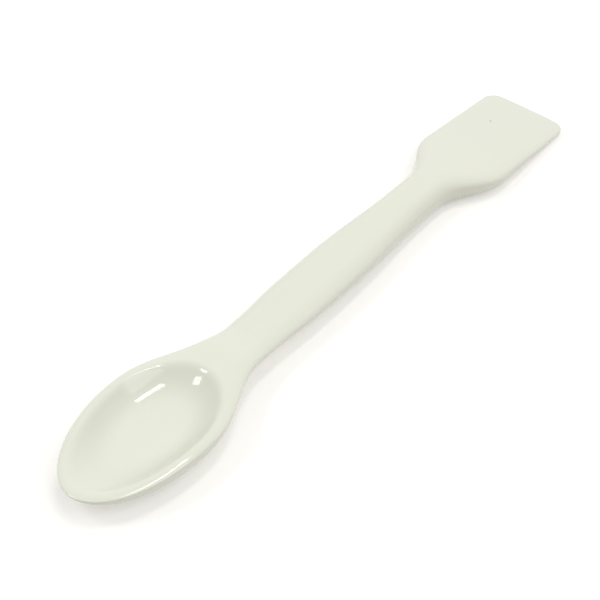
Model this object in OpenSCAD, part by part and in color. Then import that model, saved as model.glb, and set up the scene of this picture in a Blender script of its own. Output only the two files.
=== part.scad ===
// Porcelain spoon-spatula for the laboratory: one glazed piece with a spoon bowl at one
// end, a slim waisted handle and a flat spatula blade at the other end.
// It is modelled lying on the bench as it comes to rest, on the foot of its bowl and on
// the end of its blade. Lengths along the tool are measured from the tip of the bowl or
// from the end of the blade, and heights from the bench.

/* [Overall] */
// Length from the tip of the bowl to the end of the blade
length = 200; // [180:1:260]

/* [Bowl outline] */
// Width of the bowl across its rim
bowl_w = 33.4; // [28:0.1:40]
// Distance from the tip to the widest place of the bowl
bowl_mid = 30.8; // [26:0.1:35]
// Form of the outline round the tip, where 2 is an ellipse
tip_form = 1.96; // [1.7:0.01:2.3]

/* [Bowl shell] */
// Height of the rim's outer edge above the bench
rim_h = 9.6; // [8.8:0.1:12]
// How much lower the edge lies at the tip
tip_drop = 1.1; // [0:0.1:2]
// Rise of the rounded lip over its outer edge, beside and behind the hollow
lip_rise = 1.8; // [1.2:0.1:2.4]
// Rise of the lip over its outer edge at the tip
tip_rise = 0.8; // [0.4:0.1:1.4]
// Distance from the tip to where the rim begins to fall to the neck
back_at = 57; // [53:0.5:62]
// Form of the bowl's cross section under the rim, where 2 is an ellipse
bowl_form = 2.2; // [1.8:0.1:2.6]
// Distance from the tip to the foot that the bowl stands on
foot_at = 27.6; // [22:0.1:34]
// How much is ground off the round keel to give the foot its small flat
foot_cut = 0.3; // [0.1:0.05:0.6]
// Form of the keel from the tip down to the foot, where 2 is an ellipse
keel_form = 1.5; // [1.3:0.05:2]
// How far the tip's underside runs back under the hollow
tip_reach = 4.4; // [2:0.1:7]

/* [Hollow] */
// Width of the rim beside the hollow
rim_w = 1.5; // [0.8:0.1:3]
// Width of the rim at the tip
tip_rim = 1; // [0.6:0.1:2.5]
// Distance from the tip to the back end of the hollow
hollow_end = 51.6; // [48:0.2:55]
// Thickness of the porcelain under the middle of the hollow
floor_t = 6.4; // [5:0.1:6.9]
// Form of the hollow, where 2 is a plain dish and more has steeper walls
hollow_form = 3.2; // [2.4:0.1:4.4]
// How softly the rim rolls over into the hollow, as a share of the hollow's depth
roll = 0.32; // [0.2:0.02:0.6]

/* [Handle] */
// Distance from the tip to the narrow neck behind the bowl
neck_at = 68.2; // [64:0.1:76]
// Width of the neck
neck_w = 14.5; // [11:0.1:18]
// Height of the neck's edge line above the bench
neck_h = 8; // [7:0.1:10]
// Rise of the neck's top above its edge line
neck_crown = 1.8; // [1:0.1:3]
// Depth of the neck's underside below its edge line
neck_belly = 2.4; // [1.8:0.1:4]
// Distance from the tip to the front end of the grip
grip_from = 89.3; // [82:0.1:94]
// Distance from the tip to the back end of the grip
grip_to = 98; // [96:0.5:108]
// Width of the grip
grip_w = 16; // [13:0.1:20]
// Height of the grip's edge line above the bench
grip_h = 8; // [7:0.1:10]
// Rise of the grip's top above its edge line
grip_crown = 2.3; // [1.5:0.1:3.5]
// Depth of the grip's underside below its edge line
grip_belly = 5.1; // [3:0.1:6]
// Distance from the end of the blade to the waist in front of it
waist_back = 56.2; // [50:0.1:64]
// Width of the waist
waist_w = 12.2; // [10:0.1:16]
// Height of the waist's edge line above the bench
waist_h = 7.1; // [6.6:0.1:8.4]
// Rise of the waist's top above its edge line
waist_crown = 3.1; // [1.8:0.1:3.8]
// Depth of the waist's underside below its edge line
waist_belly = 5.8; // [3.5:0.1:6.2]
// Share of the handle's width that is flat on top
flat_share = 0.44; // [0.2:0.02:0.6]
// Form of the slopes beside the flat top, where 2 is an ellipse and less is straighter
side_form = 1.8; // [1.5:0.1:2.4]
// Form of the grip's underside, where 2 is an ellipse
grip_form = 2.5; // [1.8:0.1:3]
// Form of the waist's underside, which is fuller at its sides
waist_form = 3.7; // [2.5:0.1:4.5]

/* [Blade] */
// Distance from the end of the blade to its shoulders
shoulder_back = 32.7; // [28:0.1:42]
// Width of the blade at its shoulders
blade_w = 28.2; // [20:0.1:34]
// Width of the blade at its end
end_w = 27; // [20:0.1:34]
// Radius of the two corners at the end
corner_r = 4; // [1.5:0.1:9]
// Height of the edge line at the shoulders above the bench
shoulder_h = 4.4; // [4.2:0.1:6]
// Rise of the top at the shoulders above the edge line
shoulder_crown = 2.4; // [1:0.1:3.2]
// Depth of the underside at the shoulders below the edge line
shoulder_belly = 4.1; // [2:0.1:4.3]
// Thickness of the blade at its end
end_t = 2.1; // [1.4:0.1:3]
// Radius of the rounding along the thin end
end_round = 1; // [0.5:0.1:1.4]
// Form of the blade's cross section, where more is flatter with tighter edges
blade_form = 3; // [2.4:0.1:5]

/* [Hidden] */
glaze = [0.925, 0.93, 0.885];

// Places along the tool, measured from the tip of the bowl
waist_at = length - waist_back;
shoulder_at = length - shoulder_back;
corner_at = length - corner_r;
round_at = length - end_round;

// The blade's end stands on the bench: its edge line is this share of the thickness up
end_share = 0.6;
end_h = end_share * end_t;
end_crown = end_t - end_h;

// Stations of the side view: [place along the tool, height or depth there]
edge_line = [
    [0, rim_h - tip_drop],
    [bowl_mid, rim_h],
    [back_at, rim_h - tip_drop / 6],
    [neck_at, neck_h],
    [(grip_from + grip_to) / 2, grip_h],
    [waist_at, waist_h],
    [shoulder_at, shoulder_h],
    [round_at, end_h],
];
crown_line = [
    [0, tip_rise],
    [bowl_mid, lip_rise],
    [back_at, lip_rise],
    [neck_at, neck_crown],
    [(grip_from + grip_to) / 2, grip_crown],
    [waist_at, waist_crown],
    [shoulder_at, shoulder_crown],
    [round_at, end_crown],
];
belly_line = [
    [neck_at, neck_h - neck_belly],
    [(grip_from + grip_to) / 2, grip_h - grip_belly],
    [waist_at, waist_h - waist_belly],
    [shoulder_at, shoulder_h - shoulder_belly],
    [round_at, 0],
];

// Stations of the cross section's form: of the underside, of the slopes of the top, and
// the share of the top that is flat
under_line = [
    [bowl_mid, bowl_form],
    [neck_at, grip_form],
    [(grip_from + grip_to) / 2, grip_form],
    [waist_at, waist_form],
    [shoulder_at, blade_form],
];
slope_line = [
    [bowl_mid, bowl_form],
    [neck_at, side_form],
    [waist_at, side_form],
    [shoulder_at, blade_form],
];
flat_line = [
    [bowl_mid, 0],
    [neck_at, flat_share],
    [waist_at, flat_share],
    [shoulder_at, 0],
];

// The hollow's half length in front of and behind the bowl's widest place, its half
// width, and its depth below the crown
hollow_front = bowl_mid - tip_rim;
hollow_back = hollow_end - bowl_mid;
hollow_side = bowl_w / 2 - rim_w;
hollow_depth = rim_h + lip_rise - floor_t;

// Steps round one quarter of the cross section, above and below the edge line
top_steps = 15;
under_steps = 8;
ring_points = 2 * (top_steps + under_steps);

// Steps along the tool: tip to bowl's middle, to the neck, to the grip's back end, to
// the waist, to the shoulders, to the corners, and round the corners
front_steps = 22;
back_steps = 34;
grip_steps = 14;
taper_steps = 11;
flare_steps = 16;
blade_steps = 8;
corner_steps = 10;

// A number held between 0 and 1
function unit(u) = max(0, min(1, u));

// A smooth step from 0 to 1, level at both ends
function ease(u) = let (t = unit(u)) t * t * t * (10 - 15 * t + 6 * t * t);

// A smooth way from a to b
function blend(a, b, u) = a + (b - a) * ease(u);

// The height of a rounded arch of this form, 1 over its middle and 0 at its foot
function arch(u, form) = pow(max(0, 1 - pow(unit(u), form)), 1 / form);

// Slope of the straight run between stations i and i + 1
function run_slope(line, i) =
    (line[i + 1][1] - line[i][1]) / (line[i + 1][0] - line[i][0]);

// Slope of the smooth line at station i, which is level where the runs turn
function slope_at(line, i) =
    i == 0 ? run_slope(line, 0)
    : i == len(line) - 1 ? run_slope(line, i - 1)
    : let (a = run_slope(line, i - 1), b = run_slope(line, i))
        a * b <= 0 ? 0 : 2 * a * b / (a + b);

// The smooth line through the stations, at place x
function on_line(line, x, i = 0) =
    i < len(line) - 2 && x > line[i + 1][0] ? on_line(line, x, i + 1)
    : let (
        d = line[i + 1][0] - line[i][0],
        t = unit((x - line[i][0]) / d),
        t2 = t * t,
        t3 = t2 * t
    )
        line[i][1] * (2 * t3 - 3 * t2 + 1)
        + slope_at(line, i) * d * (t3 - 2 * t2 + t)
        + line[i + 1][1] * (3 * t2 - 2 * t3)
        + slope_at(line, i + 1) * d * (t3 - t2);

// Half the width of the plan outline at place x, before the corners are rounded
function plan_half(x) =
    x < bowl_mid ? bowl_w / 2 * arch(1 - x / bowl_mid, tip_form)
    : x < neck_at ? blend(bowl_w, neck_w, (x - bowl_mid) / (neck_at - bowl_mid)) / 2
    : x < grip_to ? blend(neck_w, grip_w, (x - neck_at) / (grip_from - neck_at)) / 2
    : x < waist_at ? blend(grip_w, waist_w, (x - grip_to) / (waist_at - grip_to)) / 2
    : blend(waist_w, blade_w, (x - waist_at) / (shoulder_at - waist_at)) / 2
        - (blade_w - end_w) / 2 * unit((x - shoulder_at) / shoulder_back);

// What a corner takes off the half width at place x
function corner_cut(x) =
    let (d = max(0, x - corner_at)) corner_r - sqrt(max(0, corner_r * corner_r - d * d));

function half_width(x) = plan_half(x) - corner_cut(x);

// How far the middle of a cross section lies behind its edges: in front the sections bow
// to follow the round of the tip
function reach(x) = tip_reach * (1 - unit(x / bowl_mid));

// Rise of the top over its edges, as a share of the crown: flat in the middle of the
// handle and arched beside it
function top_arch(x, c) =
    let (flat = on_line(flat_line, x))
        arch(max(0, c - flat) / (1 - flat), on_line(slope_line, x));

// Depth of the underside below its edges, as a share of the belly
function under_arch(x, c) = arch(c, on_line(under_line, x));

// The blade's thin end is rounded: the share of its thickness that is left at place x
function nose(x) =
    let (d = unit((x - round_at) / end_round)) max(0.35, sqrt(1 - d * d));

// Height of the underside along the middle: the keel of the bowl, then the belly. The
// keel dips below the bench at the foot, and what dips is ground off
function keel(x) =
    x < foot_at
        ? (rim_h - tip_drop + foot_cut) * (1 - arch(1 - x / foot_at, keel_form)) - foot_cut
    : x < neck_at
        ? blend(-foot_cut, neck_h - neck_belly, (x - foot_at) / (neck_at - foot_at))
    : on_line(belly_line, x);

// Depth of the hollow at a point of the plan. The hollow is egg shaped: out is 0 in its
// middle and 1 along its edge. At first the depth grows slowly, which rounds the rim over
// into the wall, and the wall is steepest there and runs out into the floor
function hollow(x, y) =
    let (
        form = x < bowl_mid ? tip_form : 2,
        half = x < bowl_mid ? hollow_front : hollow_back,
        along = abs(x - bowl_mid) / half,
        across = abs(y) / hollow_side,
        out = pow(pow(along, form) + pow(across, form), 1 / form),
        s = unit(1 - pow(out, hollow_form)),
        eased = s < roll ? s * s / (2 * roll) : s - roll / 2
    )
        hollow_depth * eased / (1 - roll / 2);

// A point of the section that starts at place x. c runs from 0 over the middle to 1 at
// the edge, side is 1 on the left and -1 on the right
function top_point(x, c, side) =
    let (
        px = x + reach(x) * (1 - c * c),
        py = side * half_width(x) * c,
        rise = on_line(crown_line, x) * top_arch(x, c) * nose(x)
    )
        [px, py, on_line(edge_line, x) + rise - hollow(px, py)];

function under_point(x, c, side) =
    let (
        px = x + reach(x) * (1 - c * c),
        edge = on_line(edge_line, x),
        deep = (edge - keel(x + reach(x))) * nose(x)
    )
        [px, side * half_width(x) * c, max(0, edge - deep * under_arch(x, c))];

// One cross section as a ring: over the left half of the top to the edge, back under
// the left half, then under and over the right half
function ring(x) = [
    for (i = [0:top_steps]) top_point(x, sin(90 * i / top_steps), 1),
    for (i = [1:under_steps]) under_point(x, cos(90 * i / under_steps), 1),
    for (i = [under_steps - 1:-1:1]) under_point(x, cos(90 * i / under_steps), -1),
    for (i = [top_steps:-1:1]) top_point(x, sin(90 * i / top_steps), -1),
];

// Even steps from a to b, without b
function steps(a, b, count) = [for (i = [0:count - 1]) a + (b - a) * i / count];

// Places of the cross sections, closer together where the shape turns fast
places = [
    for (i = [0:front_steps - 1]) bowl_mid * (1 - cos(90 * i / front_steps)),
    each steps(bowl_mid, neck_at, back_steps),
    each steps(neck_at, grip_to, grip_steps),
    each steps(grip_to, waist_at, taper_steps),
    each steps(waist_at, shoulder_at, flare_steps),
    each steps(shoulder_at, corner_at, blade_steps),
    for (i = [0:corner_steps]) corner_at + corner_r * sin(90 * i / corner_steps),
];

// Number of point j of ring i. The first ring lies folded on the middle line, where its
// left and right halves share their points
function point_no(i, j) =
    let (k = j % ring_points) i == 0 ? min(k, ring_points - k) : i * ring_points + k;

// The two triangles between points j and j + 1 of rings i and i + 1
function patch(i, j) = [
    [point_no(i, j), point_no(i + 1, j + 1), point_no(i + 1, j)],
    [point_no(i, j), point_no(i, j + 1), point_no(i + 1, j + 1)],
];

// A triangle with two equal corners has no area and is left out
function is_whole(t) = t[0] != t[1] && t[1] != t[2] && t[2] != t[0];

module spatula() {
    last = len(places) - 1;
    sides = [
        for (i = [0:last - 1])
            for (j = [0:ring_points - 1])
                for (t = patch(i, j))
                    if (is_whole(t)) t,
    ];
    end_face = [for (j = [0:ring_points - 1]) point_no(last, j)];
    color(glaze)
        translate([-length / 2, 0, 0])
            polyhedron(
                points = [for (x = places) each ring(x)],
                faces = concat(sides, [end_face]),
                convexity = 4
            );
}

spatula();
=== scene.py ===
# %% [markdown]
# # A glazed porcelain spoon-spatula
# This lesson gives a imported CAD model its looks. The tool is a single piece of glazed
# hard porcelain, as chemists use it to scoop and spread powders: an oval spoon bowl, a
# slim waisted handle and a flat blade. It lies on a white bench under soft lamps. The
# first step loads the CAD model as a fixed frame.

import math

import bmesh
import bpy
import numpy as np
from mathutils import Matrix, Vector


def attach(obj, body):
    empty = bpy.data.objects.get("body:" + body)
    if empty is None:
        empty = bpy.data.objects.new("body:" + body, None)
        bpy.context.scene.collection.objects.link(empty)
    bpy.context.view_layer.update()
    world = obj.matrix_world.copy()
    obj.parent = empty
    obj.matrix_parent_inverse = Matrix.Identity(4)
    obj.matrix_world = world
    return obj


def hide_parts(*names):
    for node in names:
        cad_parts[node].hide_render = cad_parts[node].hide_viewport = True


MM = 0.001


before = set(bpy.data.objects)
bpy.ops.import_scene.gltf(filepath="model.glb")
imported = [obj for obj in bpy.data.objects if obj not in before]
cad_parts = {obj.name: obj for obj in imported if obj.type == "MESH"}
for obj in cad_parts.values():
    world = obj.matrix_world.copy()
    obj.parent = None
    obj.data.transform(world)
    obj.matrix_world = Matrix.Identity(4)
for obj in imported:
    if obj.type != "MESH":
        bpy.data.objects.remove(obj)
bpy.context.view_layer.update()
print("CAD nodes:", list(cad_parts))

# %% [markdown]
# ## Places along the tool
# The sizes of the form are in millimetres, with the names and values of the part's own
# source, and each is given in the cell that first needs it. Places along the tool are
# measured from the tip of the bowl. Those that belong to the blade are measured from its
# end, so that the blade moves along when the tool gets longer.

# %% Places along the tool
length = 200

# The bowl's widest place, the back of its rim, the neck, and the ends of the grip
bowl_mid, back_at, neck_at, grip_from, grip_to = 30.8, 57, 68.2, 89.3, 98

# From the blade's end: the waist, the shoulders, the corners and the rounded edge
waist_back, shoulder_back, corner_r, end_round = 56.2, 32.7, 4, 1

grip_mid = (grip_from + grip_to) / 2
waist_at = length - waist_back
shoulder_at = length - shoulder_back
corner_at = length - corner_r
round_at = length - end_round
print("Waist at", waist_at, "mm and shoulders at", shoulder_at, "mm from the tip")

# %% [markdown]
# ## Smooth lines
# Porcelain is pressed or cast in a plaster mould, and nothing on it runs straight and
# then turns a corner: every line along the tool flows. Bezier curves could be drawn by
# hand for that, but a few small functions hold the same sizes as the CAD source. numpy
# works out all places at once, which is much faster than a Python loop over single
# points.

# %% Helpers for smooth lines


def ease(u):
    """A step from 0 to 1 that is level at both ends."""
    t = np.clip(u, 0, 1)
    return t * t * t * (10 - 15 * t + 6 * t * t)


def blend(a, b, u):
    """A smooth way from a to b while u goes from 0 to 1."""
    return a + (b - a) * ease(u)


def arch(u, form):
    """Height of a rounded arch: 1 over its middle, 0 at its foot."""
    return np.maximum(0, 1 - np.clip(u, 0, 1) ** form) ** (1 / form)


def on_line(stations, x):
    """The smooth line through stations of [place, value], level where its runs turn."""
    xs, ys = np.array(stations, float).T
    run = np.diff(ys) / np.diff(xs)
    slope = np.array([run[0], *np.zeros(len(xs) - 2), run[-1]])
    for i in range(1, len(xs) - 1):
        a, b = run[i - 1], run[i]
        slope[i] = 0 if a * b <= 0 else 2 * a * b / (a + b)
    i = np.clip(np.searchsorted(xs, x, "left") - 1, 0, len(xs) - 2)
    d = xs[i + 1] - xs[i]
    t = np.clip((x - xs[i]) / d, 0, 1)
    return (
        ys[i] * (2 * t**3 - 3 * t**2 + 1)
        + slope[i] * d * (t**3 - 2 * t**2 + t)
        + ys[i + 1] * (3 * t**2 - 2 * t**3)
        + slope[i + 1] * d * (t**3 - t**2)
    )


print("Half way up a step, ease gives", ease(0.5))

# %% [markdown]
# ## The side view
# Three lines describe the tool from the side: the edge line where top and underside
# meet, the crown above it, and the belly below it. Each is a list of stations, with a
# place along the tool and a height there, and `on_line` passes smoothly through them.
# A profile curve could hold the same, but heights by name are easier to change.

# %% Lines of the side view
# The rim's edge, its fall at the tip, and the rise of the lip over it, last at the tip
rim_h, tip_drop, lip_rise, tip_rise = 9.6, 1.1, 1.8, 0.8
back_drop = tip_drop / 6

# Edge above the bench, crown over the edge and belly under it, from the neck backwards
neck_h, neck_crown, neck_belly = 8, 1.8, 2.4
grip_h, grip_crown, grip_belly = 8, 2.3, 5.1
waist_h, waist_crown, waist_belly = 7.1, 3.1, 5.8
shoulder_h, shoulder_crown, shoulder_belly = 4.4, 2.4, 4.1

# The blade's end stands on the bench, with its edge at this share of its thickness
end_t, end_share = 2.1, 0.6

edge_line = [
    [0, rim_h - tip_drop],
    [bowl_mid, rim_h],
    [back_at, rim_h - back_drop],
    [neck_at, neck_h],
    [grip_mid, grip_h],
    [waist_at, waist_h],
    [shoulder_at, shoulder_h],
    [round_at, end_share * end_t],
]
crown_line = [
    [0, tip_rise],
    [bowl_mid, lip_rise],
    [back_at, lip_rise],
    [neck_at, neck_crown],
    [grip_mid, grip_crown],
    [waist_at, waist_crown],
    [shoulder_at, shoulder_crown],
    [round_at, end_t - end_share * end_t],
]
belly_line = [
    [neck_at, neck_h - neck_belly],
    [grip_mid, grip_h - grip_belly],
    [waist_at, waist_h - waist_belly],
    [shoulder_at, shoulder_h - shoulder_belly],
    [round_at, 0],
]
print("Without its hollow the bowl would be", rim_h + lip_rise, "mm high")

# %% [markdown]
# ## The cross sections
# Three more lines say what form a cross section has at each place. A form of 2 is an
# ellipse, and a larger one is fuller at its sides: the bowl is nearly an ellipse, the
# handle is flat on top with sloping sides, and the blade is a flat bar. Each section
# could be drawn as a curve, but with one number for the form they pass into each other
# by themselves.

# %% Forms of the cross sections
bowl_form, grip_form, waist_form, blade_form = 2.2, 2.5, 3.7, 3

# Form of the handle's sloping sides, and the share of its width that is flat on top
side_form, flat_share = 1.8, 0.44

under_line = [
    [bowl_mid, bowl_form],
    [neck_at, grip_form],
    [grip_mid, grip_form],
    [waist_at, waist_form],
    [shoulder_at, blade_form],
]
slope_line = [
    [bowl_mid, bowl_form],
    [neck_at, side_form],
    [waist_at, side_form],
    [shoulder_at, blade_form],
]
flat_line = [
    [bowl_mid, 0],
    [neck_at, flat_share],
    [waist_at, flat_share],
    [shoulder_at, 0],
]


def top_arch(x, c):
    """Rise of the top over its edges, where c is 0 over the middle and 1 at the edge."""
    flat = on_line(flat_line, x)
    return arch(np.maximum(0, c - flat) / (1 - flat), on_line(slope_line, x))


print("The middle", flat_share, "of the handle's width is flat on top")

# %% [markdown]
# ## Keel and nose
# The underside of the bowl is a round keel. It would dip below the bench at its lowest
# place, and what dips is ground off, which leaves the small flat foot that the tool
# stands on. At the other end the thin edge of the blade is rounded over: its sections
# shrink towards the end, to about a third of their thickness. A boolean and a bevel could
# do both, but as rules for a height they leave the skin in one piece.

# %% Keel and nose
# Place of the foot, how much is ground off there, and the form of the keel in front of it
foot_at, foot_cut, keel_form = 27.6, 0.3, 1.5

# Share of the blade's thickness that is left at its very end
end_left = 0.35


def keel(x):
    """Height of the underside along the middle. It dips at the foot, which is ground flat."""
    front = (rim_h - tip_drop + foot_cut) * (1 - arch(1 - x / foot_at, keel_form)) - foot_cut
    rise = blend(-foot_cut, neck_h - neck_belly, (x - foot_at) / (neck_at - foot_at))
    return np.where(x < foot_at, front, np.where(x < neck_at, rise, on_line(belly_line, x)))


def nose(x):
    """Share of the blade's thickness that is left where its thin end rounds over."""
    d = np.clip((x - round_at) / end_round, 0, 1)
    return np.maximum(end_left, np.sqrt(1 - d * d))


print("The foot lies", foot_at, "mm from the tip")

# %% [markdown]
# ## The outline from above
# The bowl's outline is half an ellipse at the tip, then one flowing step down to the
# neck. The handle swells to the grip and narrows to the waist, and the blade flares out
# to its shoulders, with two rounded corners at its end. The cross sections bow forward
# near the tip, so that they follow its round outline. Straight sections would leave an
# upright fold at the tip.

# %% Outline from above
# Widths from the bowl to the blade's shoulders and its end
bowl_w, neck_w, grip_w, waist_w, blade_w, end_w = 33.4, 14.5, 16, 12.2, 28.2, 27

# Form of the round tip, and how far its cross sections bow forward
tip_form, tip_reach = 1.96, 4.4


def half_width(x):
    """Half the width of the tool, with the blade's corners rounded."""
    tip = bowl_w / 2 * arch(1 - x / bowl_mid, tip_form)
    back = blend(bowl_w, neck_w, (x - bowl_mid) / (neck_at - bowl_mid)) / 2
    grip = blend(neck_w, grip_w, (x - neck_at) / (grip_from - neck_at)) / 2
    taper = blend(grip_w, waist_w, (x - grip_to) / (waist_at - grip_to)) / 2
    flare = blend(waist_w, blade_w, (x - waist_at) / (shoulder_at - waist_at)) / 2
    narrowing = (blade_w - end_w) / 2 * np.clip((x - shoulder_at) / shoulder_back, 0, 1)
    plan = np.select(
        [x < bowl_mid, x < neck_at, x < grip_to, x < waist_at],
        [tip, back, grip, taper],
        flare - narrowing,
    )
    past = np.maximum(0, x - corner_at)
    return plan - (corner_r - np.sqrt(np.maximum(0, corner_r**2 - past**2)))


def reach(x):
    """How far the middle of a cross section lies behind its edges."""
    return tip_reach * (1 - np.clip(x / bowl_mid, 0, 1))


print("Width at the neck:", float(2 * half_width(np.array(neck_at))), "mm")

# %% [markdown]
# ## The hollow
# The spoon's hollow is egg shaped. Its depth grows slowly at first, which rounds the rim
# over as glaze does, then the wall is steep and runs out into a broad floor. It could be
# cut with a boolean, but here it is a depth that is taken off the top surface, so rim
# and hollow are one skin, as on a cast piece. `outward` says how far out in the hollow a
# point lies, and a later cell uses it again for the glaze.

# %% Hollow of the bowl
# Rim beside the hollow and at the tip, the hollow's back end, and the floor's thickness
rim_w, tip_rim, hollow_end, floor_t = 1.5, 1, 51.6, 6.4

# Steepness of the wall, and the share of the depth over which the rim rolls into it
hollow_form, roll = 3.2, 0.32


def outward(x, y):
    """0 in the middle of the hollow and 1 at its edge."""
    form = np.where(x < bowl_mid, tip_form, 2)
    half = np.where(x < bowl_mid, bowl_mid - tip_rim, hollow_end - bowl_mid)
    along = np.abs(x - bowl_mid) / half
    across = np.abs(y) / (bowl_w / 2 - rim_w)
    return (along**form + across**form) ** (1 / form)


def hollow(x, y):
    """Depth that the hollow takes off the top surface."""
    s = np.clip(1 - outward(x, y) ** hollow_form, 0, 1)
    eased = np.where(s < roll, s * s / (2 * roll), s - roll / 2)
    return (rim_h + lip_rise - floor_t) * eased / (1 - roll / 2)


print("Depth in the middle:", round(float(hollow(np.array(bowl_mid), 0)), 2), "mm")

# %% [markdown]
# ## The skin
# Sculpting, subdivision or booleans could make this form, but glaze is a mirror that
# shows every ripple they leave. Instead the skin is lofted: rings of points run round
# the tool, one cross section after another, and faces join each ring to the next. Rings
# are closer together where the shape turns fast, and the steps are small, so that
# reflections run smoothly over the glaze.

# %% One ring of points
# Steps over half the top and under half the underside
top_steps, under_steps = 64, 24


def ring(x):
    """One closed cross section, as an array of points in millimetres."""
    top = np.linspace(0, np.pi / 2, top_steps + 1)
    under = np.linspace(np.pi / 2, 0, under_steps + 1)[1:]
    edge = on_line(edge_line, x)

    # c is 0 over the middle line and 1 at the edge
    c = np.sin(top)
    px = x + reach(x) * (1 - c * c)
    py = half_width(x) * c
    rise = on_line(crown_line, x) * top_arch(x, c) * nose(x)
    half_top = np.column_stack([px, py, edge + rise - hollow(px, py)])

    c = np.sin(under)
    px = x + reach(x) * (1 - c * c)
    py = half_width(x) * c
    deep = (edge - keel(x + reach(x))) * nose(x)
    pz = np.maximum(0, edge - deep * arch(c, on_line(under_line, x)))
    half_under = np.column_stack([px, py, pz])

    left = np.vstack([half_top, half_under])
    right = left[-2:0:-1] * [1, -1, 1]
    return np.vstack([left, right])


print("A ring at the neck is", round(float(np.ptp(ring(neck_at)[:, 2])), 2), "mm high")

# %% [markdown]
# ## Rings along the tool
# Each stretch between two places has its own number of rings. At the tip and round the
# corners of the blade they follow a quarter of a circle, which sets them closer together
# where the outline turns. Even steps would leave flats in both places.

# %% Rings along the tool
# Rings in each stretch, from the tip to the blade's end
front_steps, back_steps, grip_steps, taper_steps = 130, 100, 40, 36
flare_steps, blade_steps, corner_steps = 48, 34, 35


def steps(a, b, count):
    """Even steps from a to b, without b itself."""
    return np.linspace(a, b, count, endpoint=False)


places = np.concatenate(
    [
        bowl_mid * (1 - np.cos(steps(0, np.pi / 2, front_steps))),
        steps(bowl_mid, neck_at, back_steps),
        steps(neck_at, grip_to, grip_steps),
        steps(grip_to, waist_at, taper_steps),
        steps(waist_at, shoulder_at, flare_steps),
        steps(shoulder_at, corner_at, blade_steps),
        corner_at + corner_r * np.sin(np.linspace(0, np.pi / 2, corner_steps + 1)),
    ]
)
rings = np.array([ring(x) for x in places])
print("Rings:", len(rings), "with", rings.shape[1], "points each")

# %% [markdown]
# ## From rings to a mesh
# The first ring lies folded on the middle line at the tip, so its left and right halves
# share points and are merged. The last ring is closed with one face. Faces are listed by
# their points' numbers, which is quicker than bmesh for a grid as regular as this one,
# and bmesh then does what needs to know neighbours: merging points and turning faces.

# %% Loft and weld
# Points closer than this, in mm, are one point
weld_gap = 0.002


def loft(name, rings):
    """Joins each ring of points to the next with faces, and closes the last one."""
    count, around = rings.shape[:2]
    points = (rings.reshape(-1, 3) - [length / 2, 0, 0]) * MM
    faces = [tuple((count - 1) * around + j for j in range(around))]
    for i in range(count - 1):
        for j in range(around):
            k = (j + 1) % around
            a, b = i * around, (i + 1) * around
            faces.append((a + j, b + j, b + k, a + k))
    mesh = bpy.data.meshes.new(name)
    mesh.from_pydata(points.tolist(), [], faces)
    return mesh


def weld(mesh):
    """Merges the folded points at the tip and turns all faces outwards."""
    bm = bmesh.new()
    bm.from_mesh(mesh)
    bmesh.ops.remove_doubles(bm, verts=bm.verts, dist=weld_gap * MM)
    bmesh.ops.recalc_face_normals(bm, faces=bm.faces)
    bm.to_mesh(mesh)
    bm.free()


mesh = loft("glazed_spatula", rings)
weld(mesh)
print("Points left after the merge:", len(mesh.vertices), "of", rings.size // 3)

# %% [markdown]
# ## The porcelain piece
# Smooth shading blends the normals, as the glaze blends the surface. No modifier is
# needed, because the rings already lie closer than the eye can tell. The finished mesh
# rides on the CAD body and stands in for its plain solid.

# %% Porcelain piece
mesh.shade_smooth()
tool = bpy.data.objects.new("glazed_spatula", mesh)
bpy.context.scene.collection.objects.link(tool)
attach(tool, "root")
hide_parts("spatula")

mesh.calc_loop_triangles()
print("Triangles:", len(mesh.loop_triangles))

# %% [markdown]
# ## Colours and nodes
# Colours are written as sRGB hex values, as a paint chart gives them, and one function
# turns them into the linear values that shaders use. Another adds a node with its
# settings and links, so that every node of a material is one call. A Mix node keeps its
# sockets for numbers and for colours side by side under the same names, so those are
# picked by their place in the list.

# %% Colour and node helpers
VALUE_A, VALUE_B, VALUE_OUT = 2, 3, 0
COLOUR_A, COLOUR_B, COLOUR_OUT = 6, 7, 2


def linear(hex_colour):
    """An sRGB hex colour as linear red, green, blue and alpha."""
    parts = [int(hex_colour[i : i + 2], 16) / 255 for i in (1, 3, 5)]
    return [p / 12.92 if p <= 0.04045 else ((p + 0.055) / 1.055) ** 2.4 for p in parts] + [1]


def add(tree, kind, inputs=None, **settings):
    """Adds a node. Inputs are values or other nodes' output sockets."""
    node = tree.nodes.new(kind)
    for key, value in settings.items():
        setattr(node, key, value)
    for key, value in (inputs or {}).items():
        if isinstance(value, bpy.types.NodeSocket):
            tree.links.new(value, node.inputs[key])
        else:
            node.inputs[key].default_value = value
    return node


def new_material(name):
    """A material with an empty node tree."""
    material = bpy.data.materials.new(name)
    material.use_nodes = True
    material.node_tree.nodes.clear()
    return material


print("Mid grey #808080 is", round(linear("#808080")[0], 3), "in linear light")

# %% [markdown]
# ## The porcelain body
# Hard porcelain is kaolin, feldspar and quartz, fired at 1400 degrees in a flame that is
# short of air. That turns the last traces of iron from yellow to a cool green, so the
# white is a slightly green ivory. The clay is never mixed quite evenly: two tones that
# differ by a hair drift into each other over some 20 mm. A noise texture gives that
# drift, because it needs no image and has no seam.

# %% Body colour
green_ivory, pale_ivory = "#e8ebdc", "#ecedde"

# Size of the drift in mm
tone_size = 20

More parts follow.
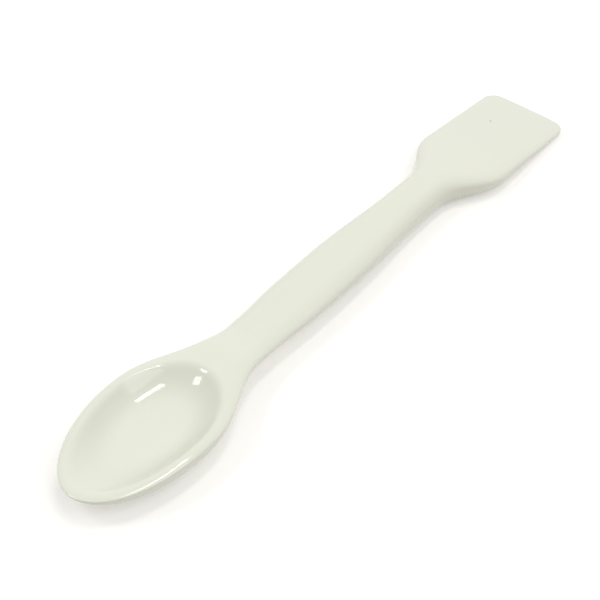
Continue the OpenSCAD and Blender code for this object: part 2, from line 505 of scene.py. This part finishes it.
porcelain = new_material("glazed_hard_porcelain")
tree = porcelain.node_tree
place = add(tree, "ShaderNodeTexCoord").outputs["Object"]
tones = add(
    tree,
    "ShaderNodeTexNoise",
    {"Vector": place, "Scale": 1 / (tone_size * MM), "Detail": 3.0},
)
body = add(
    tree,
    "ShaderNodeMix",
    {"Factor": tones.outputs["Fac"], COLOUR_A: linear(green_ivory), COLOUR_B: linear(pale_ivory)},
    data_type="RGBA",
)
print("The body is", [round(c, 3) for c in linear(green_ivory)[:3]], "in linear light")

# %% [markdown]
# ## Painted shade in the hollow
# The walls of the hollow get painted shade: a deeper ivory, strongest where wall and floor
# meet, which darkens them more than the lamps do. At the tip the wall is too shallow for
# it, so it fades in from there. A texture doesn't know where the wall is, but the hollow's
# own formula does. Its value is stored on each point of the mesh, and the material reads
# it by name.

# %% Painted shade on the mesh
# Shares of the way out where the painted shade begins and where it is strongest
wall_from, wall_at = 0.4, 0.8

# Distance from the tip at which the wall has become steep enough
steep_from = 24
# A deeper ivory, painted on the walls as shade
painted_shade_ivory = "#e2e5d5"


def paint_wall_shade(mesh):
    """Stores on each point how much painted shade it gets, from 0 to 1."""
    points = np.array([v.co for v in mesh.vertices]) / MM + [length / 2, 0, 0]
    upward = np.array([v.normal.z for v in mesh.vertices]) > 0
    out = outward(points[:, 0], points[:, 1])
    inner = ease((out - wall_from) / (wall_at - wall_from))
    outer = ease((1 - out) / (1 - wall_at))
    depth = inner * outer * ease(points[:, 0] / steep_from) * upward
    mesh.attributes.new("painted_wall_shade", "FLOAT", "POINT").data.foreach_set("value", depth)
    return depth


depth = paint_wall_shade(mesh)
# The stored value mixes the deeper ivory into the body: painted shade on the hollow's walls
shaded = add(tree, "ShaderNodeAttribute", attribute_name="painted_wall_shade")
glazed = add(
    tree,
    "ShaderNodeMix",
    {
        "Factor": shaded.outputs["Fac"],
        COLOUR_A: body.outputs[COLOUR_OUT],
        COLOUR_B: linear(painted_shade_ivory),
    },
    data_type="RGBA",
)
print("Points with pooled glaze:", int((depth > 0).sum()), "of", len(depth))

# %% [markdown]
# ## An iron speck
# A grain of iron in the clay melts in the kiln and comes through the glaze as a dark dot
# with a soft edge. This tool has one, on top of the blade. It is found by its distance
# from one point, given in the same millimetres as the sizes. A point in the shader stays
# round at any size, where a dot painted on the mesh would need far more faces.

# %% Iron speck
# Its place from the blade's end, from the middle line and from the bench
speck_back, speck_y, speck_z = 14.6, 4.1, 4.1

# Its radius, and the share of it that is fully dark
speck_r, core_share = 0.3, 0.3
iron_brown = "#57503f"

speck_at = Vector((length / 2 - speck_back, speck_y, speck_z)) * MM
away = add(tree, "ShaderNodeVectorMath", {0: place, 1: speck_at}, operation="DISTANCE")
speck = add(
    tree,
    "ShaderNodeMapRange",
    {
        "Value": away.outputs["Value"],
        "From Min": core_share * speck_r * MM,
        "From Max": speck_r * MM,
        "To Min": 1.0,
        "To Max": 0.0,
    },
    interpolation_type="SMOOTHSTEP",
)
specked = add(
    tree,
    "ShaderNodeMix",
    {
        "Factor": speck.outputs["Result"],
        COLOUR_A: glazed.outputs[COLOUR_OUT],
        COLOUR_B: linear(iron_brown),
    },
    data_type="RGBA",
)
print("The speck lies", speck_back, "mm from the blade's end")

# %% [markdown]
# ## The ground foot
# Wet glaze would weld the tool to the kiln shelf. So the flat foot under the bowl is
# wiped bare before the firing and ground smooth after it, which leaves an oval of dry,
# fine-grained biscuit. It could be faces of their own with a second material, but their
# edge would be as jagged as the mesh. A mask has a soft edge, and it needs only two
# tests: the foot lies flat on the bench, and it is in the front half of the tool.

# %% Foot mask
# Heights above the bench, in mm
bare_up_to, glazed_from = 0.01, 0.05
biscuit_white = "#dedbd2"

spot = add(tree, "ShaderNodeSeparateXYZ", {"Vector": place}).outputs
in_front = add(tree, "ShaderNodeMath", {0: spot["X"], 1: 0.0}, operation="LESS_THAN")
on_bench = add(
    tree,
    "ShaderNodeMapRange",
    {
        "Value": spot["Z"],
        "From Min": bare_up_to * MM,
        "From Max": glazed_from * MM,
        "To Min": 1.0,
        "To Max": 0.0,
    },
    interpolation_type="SMOOTHSTEP",
)
foot = add(
    tree,
    "ShaderNodeMath",
    {0: on_bench.outputs["Result"], 1: in_front.outputs["Value"]},
    operation="MULTIPLY",
).outputs["Value"]
coloured = add(
    tree,
    "ShaderNodeMix",
    {
        "Factor": foot,
        COLOUR_A: specked.outputs[COLOUR_OUT],
        COLOUR_B: linear(biscuit_white),
    },
    data_type="RGBA",
)
print("Glaze begins", glazed_from, "mm above the bench")

# %% [markdown]
# ## Gloss
# The tool is dipped in a slurry of ground minerals, which melts to glass in the kiln and
# levels itself, so its surface is nearly a mirror. A new glaze has a roughness of about
# 0.05. Handling leaves it a trace duller, and here it drifts between two values just
# above that, over 6 mm. One even value would look too clean to be real. The foot has no
# glaze, and its ground grains scatter light every way, so it is matt.

# %% Roughness of glaze and foot
clean_roughness, worn_roughness, foot_roughness = 0.055, 0.085, 0.6

# Size of the worn places in mm
wear_size = 6

wear = add(tree, "ShaderNodeTexNoise", {"Vector": place, "Scale": 1 / (wear_size * MM)})
gloss = add(
    tree,
    "ShaderNodeMix",
    {"Factor": wear.outputs["Fac"], VALUE_A: clean_roughness, VALUE_B: worn_roughness},
)
roughness = add(
    tree,
    "ShaderNodeMix",
    {"Factor": foot, VALUE_A: gloss.outputs[VALUE_OUT], VALUE_B: foot_roughness},
)
print("Glaze roughness:", clean_roughness, "to", worn_roughness)

# %% [markdown]
# ## Ripple and grain
# Glaze cools with slow waves, some 7 mm long. They are four hundredths of a millimetre
# high at most, and only a third of that is let through. The colour can't show them, but
# they bend the edges of every reflection. The foot's grain is finer than a tenth of a
# millimetre on real porcelain. It is drawn at 0.3 mm, as coarse as it needs to show. Both
# are bump, because neither changes the outline, and one Bump node passes on to the next.

# %% Relief of glaze and foot
# Sizes and heights in mm
ripple_size, ripple_h, ripple_share = 7, 0.04, 0.35
grain_size, grain_h = 0.3, 0.02

waves = add(tree, "ShaderNodeTexNoise", {"Vector": place, "Scale": 1 / (ripple_size * MM)})
ripple = add(
    tree,
    "ShaderNodeBump",
    {"Height": waves.outputs["Fac"], "Distance": ripple_h * MM, "Strength": ripple_share},
)
grains = add(tree, "ShaderNodeTexNoise", {"Vector": place, "Scale": 1 / (grain_size * MM)})
relief = add(
    tree,
    "ShaderNodeBump",
    {
        "Height": grains.outputs["Fac"],
        "Distance": grain_h * MM,
        "Strength": foot,
        "Normal": ripple.outputs["Normal"],
    },
)
print("Ripple:", ripple_size, "mm long. Grain of the foot:", grain_size, "mm")

# %% [markdown]
# ## The finished porcelain
# One Principled shader takes it all in. Glaze is a clear glass over a white body, and the
# shader's own gloss layer is just that, so no separate coat is needed. The index of
# refraction is that of glass, 1.5, and is the same all over.

# %% Porcelain shader
glass_ior = 1.5

porcelain_shader = add(
    tree,
    "ShaderNodeBsdfPrincipled",
    {
        "Base Color": coloured.outputs[COLOUR_OUT],
        "Roughness": roughness.outputs[VALUE_OUT],
        "IOR": glass_ior,
        "Normal": relief.outputs["Normal"],
    },
)
add(tree, "ShaderNodeOutputMaterial", {"Surface": porcelain_shader.outputs["BSDF"]})
tool.data.materials.append(porcelain)
print("Material nodes:", len(tree.nodes))

# %% [markdown]
# ## The bench
# The tool lies on a white bench that runs out of sight. A single face is enough for it,
# because its edges lie far beyond the view. It is a hair lower than the tool, so that no
# two surfaces share one place.

# %% Bench
# Half its side, and the hair by which it lies under the tool, both in metres
bench_half, bench_below = 3, 0.0001

bench_mesh = bpy.data.meshes.new("bench")
corners = [(-1, -1), (1, -1), (1, 1), (-1, 1)]
bench_points = [(x * bench_half, y * bench_half, -bench_below) for x, y in corners]
bench_mesh.from_pydata(bench_points, [], [(0, 1, 2, 3)])
bench = bpy.data.objects.new("bench", bench_mesh)
bpy.context.scene.collection.objects.link(bench)
print("Bench:", 2 * bench_half, "m wide")

# %% [markdown]
# ## The laminate
# Laminate is paper soaked in melamine resin and pressed under a matt steel plate, which
# gives an even, faintly warm white with no clear reflections. Its slight sheen is left
# out, so that it looks the same from every side. In a studio such a bench is lit until it
# is just white. Here the lamps stay low, so that the porcelain keeps its own colour, and
# the bench gets the rest from a faint glow. A Light Path node tells what kind of ray has
# reached a surface, and only rays from the camera and from reflections see the glow. So
# it doesn't light the tool, and the tool's shadow stays.

# %% Laminate
laminate_white = "#ece9e6"
laminate_roughness, laminate_glow = 0.7, 0.3
WHITE = (1, 1, 1, 1)


def seen_directly(tree):
    """1 for rays from the camera, a mirror or glass, and 0 for light that falls on things."""
    path = add(tree, "ShaderNodeLightPath").outputs
    seen = path["Is Camera Ray"]
    for other in (path["Is Glossy Ray"], path["Is Transmission Ray"]):
        either = add(tree, "ShaderNodeMath", {0: seen, 1: other}, operation="MAXIMUM")
        seen = either.outputs["Value"]
    return seen


laminate = new_material("white_bench_laminate")
tree = laminate.node_tree
glow = add(
    tree,
    "ShaderNodeMath",
    {0: seen_directly(tree), 1: laminate_glow},
    operation="MULTIPLY",
)
laminate_shader = add(
    tree,
    "ShaderNodeBsdfPrincipled",
    {
        "Base Color": linear(laminate_white),
        "Roughness": laminate_roughness,
        "Specular IOR Level": 0.0,
        "Emission Color": WHITE,
        "Emission Strength": glow.outputs["Value"],
    },
)
add(tree, "ShaderNodeOutputMaterial", {"Surface": laminate_shader.outputs["BSDF"]})
bench.data.materials.append(laminate)
print("The laminate reflects", round(linear(laminate_white)[0], 2), "of the red light")

# %% [markdown]
# ## The white tent
# Glaze shows its surroundings, so they are kept simple: a white tent all round. Its light
# is weaker low down on the camera's side, where the tent is open to a dark room. That
# fall-off is what models the outer wall of the bowl and the side of the handle. A
# panorama image could light it too, but here the strength depends only on the direction,
# and is easy to set: it follows the height above a tilted horizon.

# %% Light of the tent
tent_level = 0.77

# The tilted zenith, and the heights over its horizon where light begins and is full
tilt, dark_below, full_above = (0.22, 0.17, 1), 0.0, 0.4

world = bpy.data.worlds.new("white_tent")
bpy.context.scene.world = world
world.use_nodes = True
tree = world.node_tree
tree.nodes.clear()

sky = add(tree, "ShaderNodeTexCoord").outputs["Generated"]
tilted = add(tree, "ShaderNodeVectorMath", {0: sky, 1: tilt}, operation="DOT_PRODUCT")
around = add(
    tree,
    "ShaderNodeMapRange",
    {
        "Value": tilted.outputs["Value"],
        "From Min": dark_below,
        "From Max": full_above,
        "To Min": 0.0,
        "To Max": tent_level,
    },
    interpolation_type="SMOOTHSTEP",
)
print("The walls of the tent glow at", tent_level)

# %% [markdown]
# ## The opening above
# Straight above the tool the tent is open for the softboxes, and less light comes from
# there. This follows the plain height of a direction, which is 1 for straight up. The two
# strengths are multiplied, so that each can be set by itself.

# %% Opening of the tent
# Heights where the opening starts and is reached, and the share of light that is left
opening_from, opening_at, opening_share = 0.8, 0.97, 0.4

height = add(tree, "ShaderNodeSeparateXYZ", {"Vector": sky})
above = add(
    tree,
    "ShaderNodeMapRange",
    {
        "Value": height.outputs["Z"],
        "From Min": opening_from,
        "From Max": opening_at,
        "To Min": 1.0,
        "To Max": opening_share,
    },
    interpolation_type="SMOOTHSTEP",
)
level = add(
    tree,
    "ShaderNodeMath",
    {0: around.outputs["Result"], 1: above.outputs["Result"]},
    operation="MULTIPLY",
)
print("Straight above it glows at", round(tent_level * opening_share, 2))

# %% [markdown]
# ## What the camera sees
# The world has two faces. Light that falls on things comes from the tent with its dark
# side. Rays from the camera and from the glaze meet a plain white of strength 1, so the
# background is white and no dark side shows in a reflection.

# %% World
tent = add(tree, "ShaderNodeBackground", {"Color": WHITE, "Strength": level.outputs["Value"]})
white = add(tree, "ShaderNodeBackground", {"Color": WHITE, "Strength": 1.0})
both = add(
    tree,
    "ShaderNodeMixShader",
    {0: seen_directly(tree), 1: tent.outputs["Background"], 2: white.outputs["Background"]},
)
add(tree, "ShaderNodeOutputWorld", {"Surface": both.outputs["Shader"]})
print("World nodes:", len(tree.nodes))

# %% [markdown]
# ## Softboxes
# Three softboxes hang round the bowl, 1.2 m away. The long one runs along the tool. It
# draws the bright lines on the rim and the streak in the hollow, and casts the narrow
# shadow beside the tool. The square one hangs on the far side. It gives the two small
# windows at the back of the hollow, and a wider shadow towards the camera. The broad one
# on the near side is so large that the glaze shows it only as a faint sheen, and it casts
# the soft shadow at the tip. Each is placed by its direction from the bowl, because the
# direction decides where the glaze reflects it.

# %% Lamps
# The middle of the bowl, and the distance from there to the lamps in metres
bowl = Vector(((bowl_mid - length / 2) * MM, 0, 0))
hang = 1.2


def softbox(name, direction, size, power):
    """An area lamp in a direction from the bowl, with its long side along the tool."""
    z_axis = Vector(direction).normalized()
    x_axis = (Vector((1, 0, 0)) - z_axis * z_axis.x).normalized()
    axes = Matrix((x_axis, z_axis.cross(x_axis), z_axis)).transposed()
    lamp = bpy.data.lights.new(name, "AREA")
    lamp.shape = "RECTANGLE"
    lamp.size, lamp.size_y = size
    lamp.energy = power
    holder = bpy.data.objects.new(name, lamp)
    bpy.context.scene.collection.objects.link(holder)
    holder.matrix_world = Matrix.LocRotScale(bowl + z_axis * hang, axes, None)
    print(name, "gives", power, "W from", [round(v, 2) for v in holder.location])


# Name, direction, length and width in metres, and power in watts
softbox("long_softbox", (0.17, -0.07, 0.98), (0.48, 0.13), 2.2)
softbox("square_softbox", (-0.34, 0.43, 0.83), (0.24, 0.22), 1.4)
softbox("broad_softbox", (0, -0.58, 0.81), (0.8, 0.6), 2.5)

# %% [markdown]
# ## Camera
# The camera looks down at the tool from beyond the bowl, along its length, so that the
# bowl is near and the blade far away. It stands half a metre away with a long lens, which
# keeps the perspective calm. Its place is worked out from two angles and a distance, so
# that it can be walked round the tool by changing one number.

# %% Camera
# Lens and sensor in mm, places in metres
lens, sensor = 109.8, 36
distance = 0.5
rise = math.radians(44.83)
turn = math.radians(51.39)
aim = Vector((-0.00636, 0.00383, 0))

camera_data = bpy.data.cameras.new("camera")
camera_data.lens = lens
camera_data.sensor_width = sensor
camera = bpy.data.objects.new("camera", camera_data)
bpy.context.scene.collection.objects.link(camera)

# The way from the aim to the camera
outlook = Vector(
    (-math.sin(turn) * math.cos(rise), -math.cos(turn) * math.cos(rise), math.sin(rise))
)
camera.location = aim + outlook * distance
camera.rotation_euler = outlook.to_track_quat("Z", "Y").to_euler()
bpy.context.scene.camera = camera
print("Camera at", [round(v, 3) for v in camera.location])

# %% [markdown]
# ## Finish
# The Standard view shows colours as they are written.

# %% Finish
bpy.context.scene.view_settings.view_transform = "Standard"
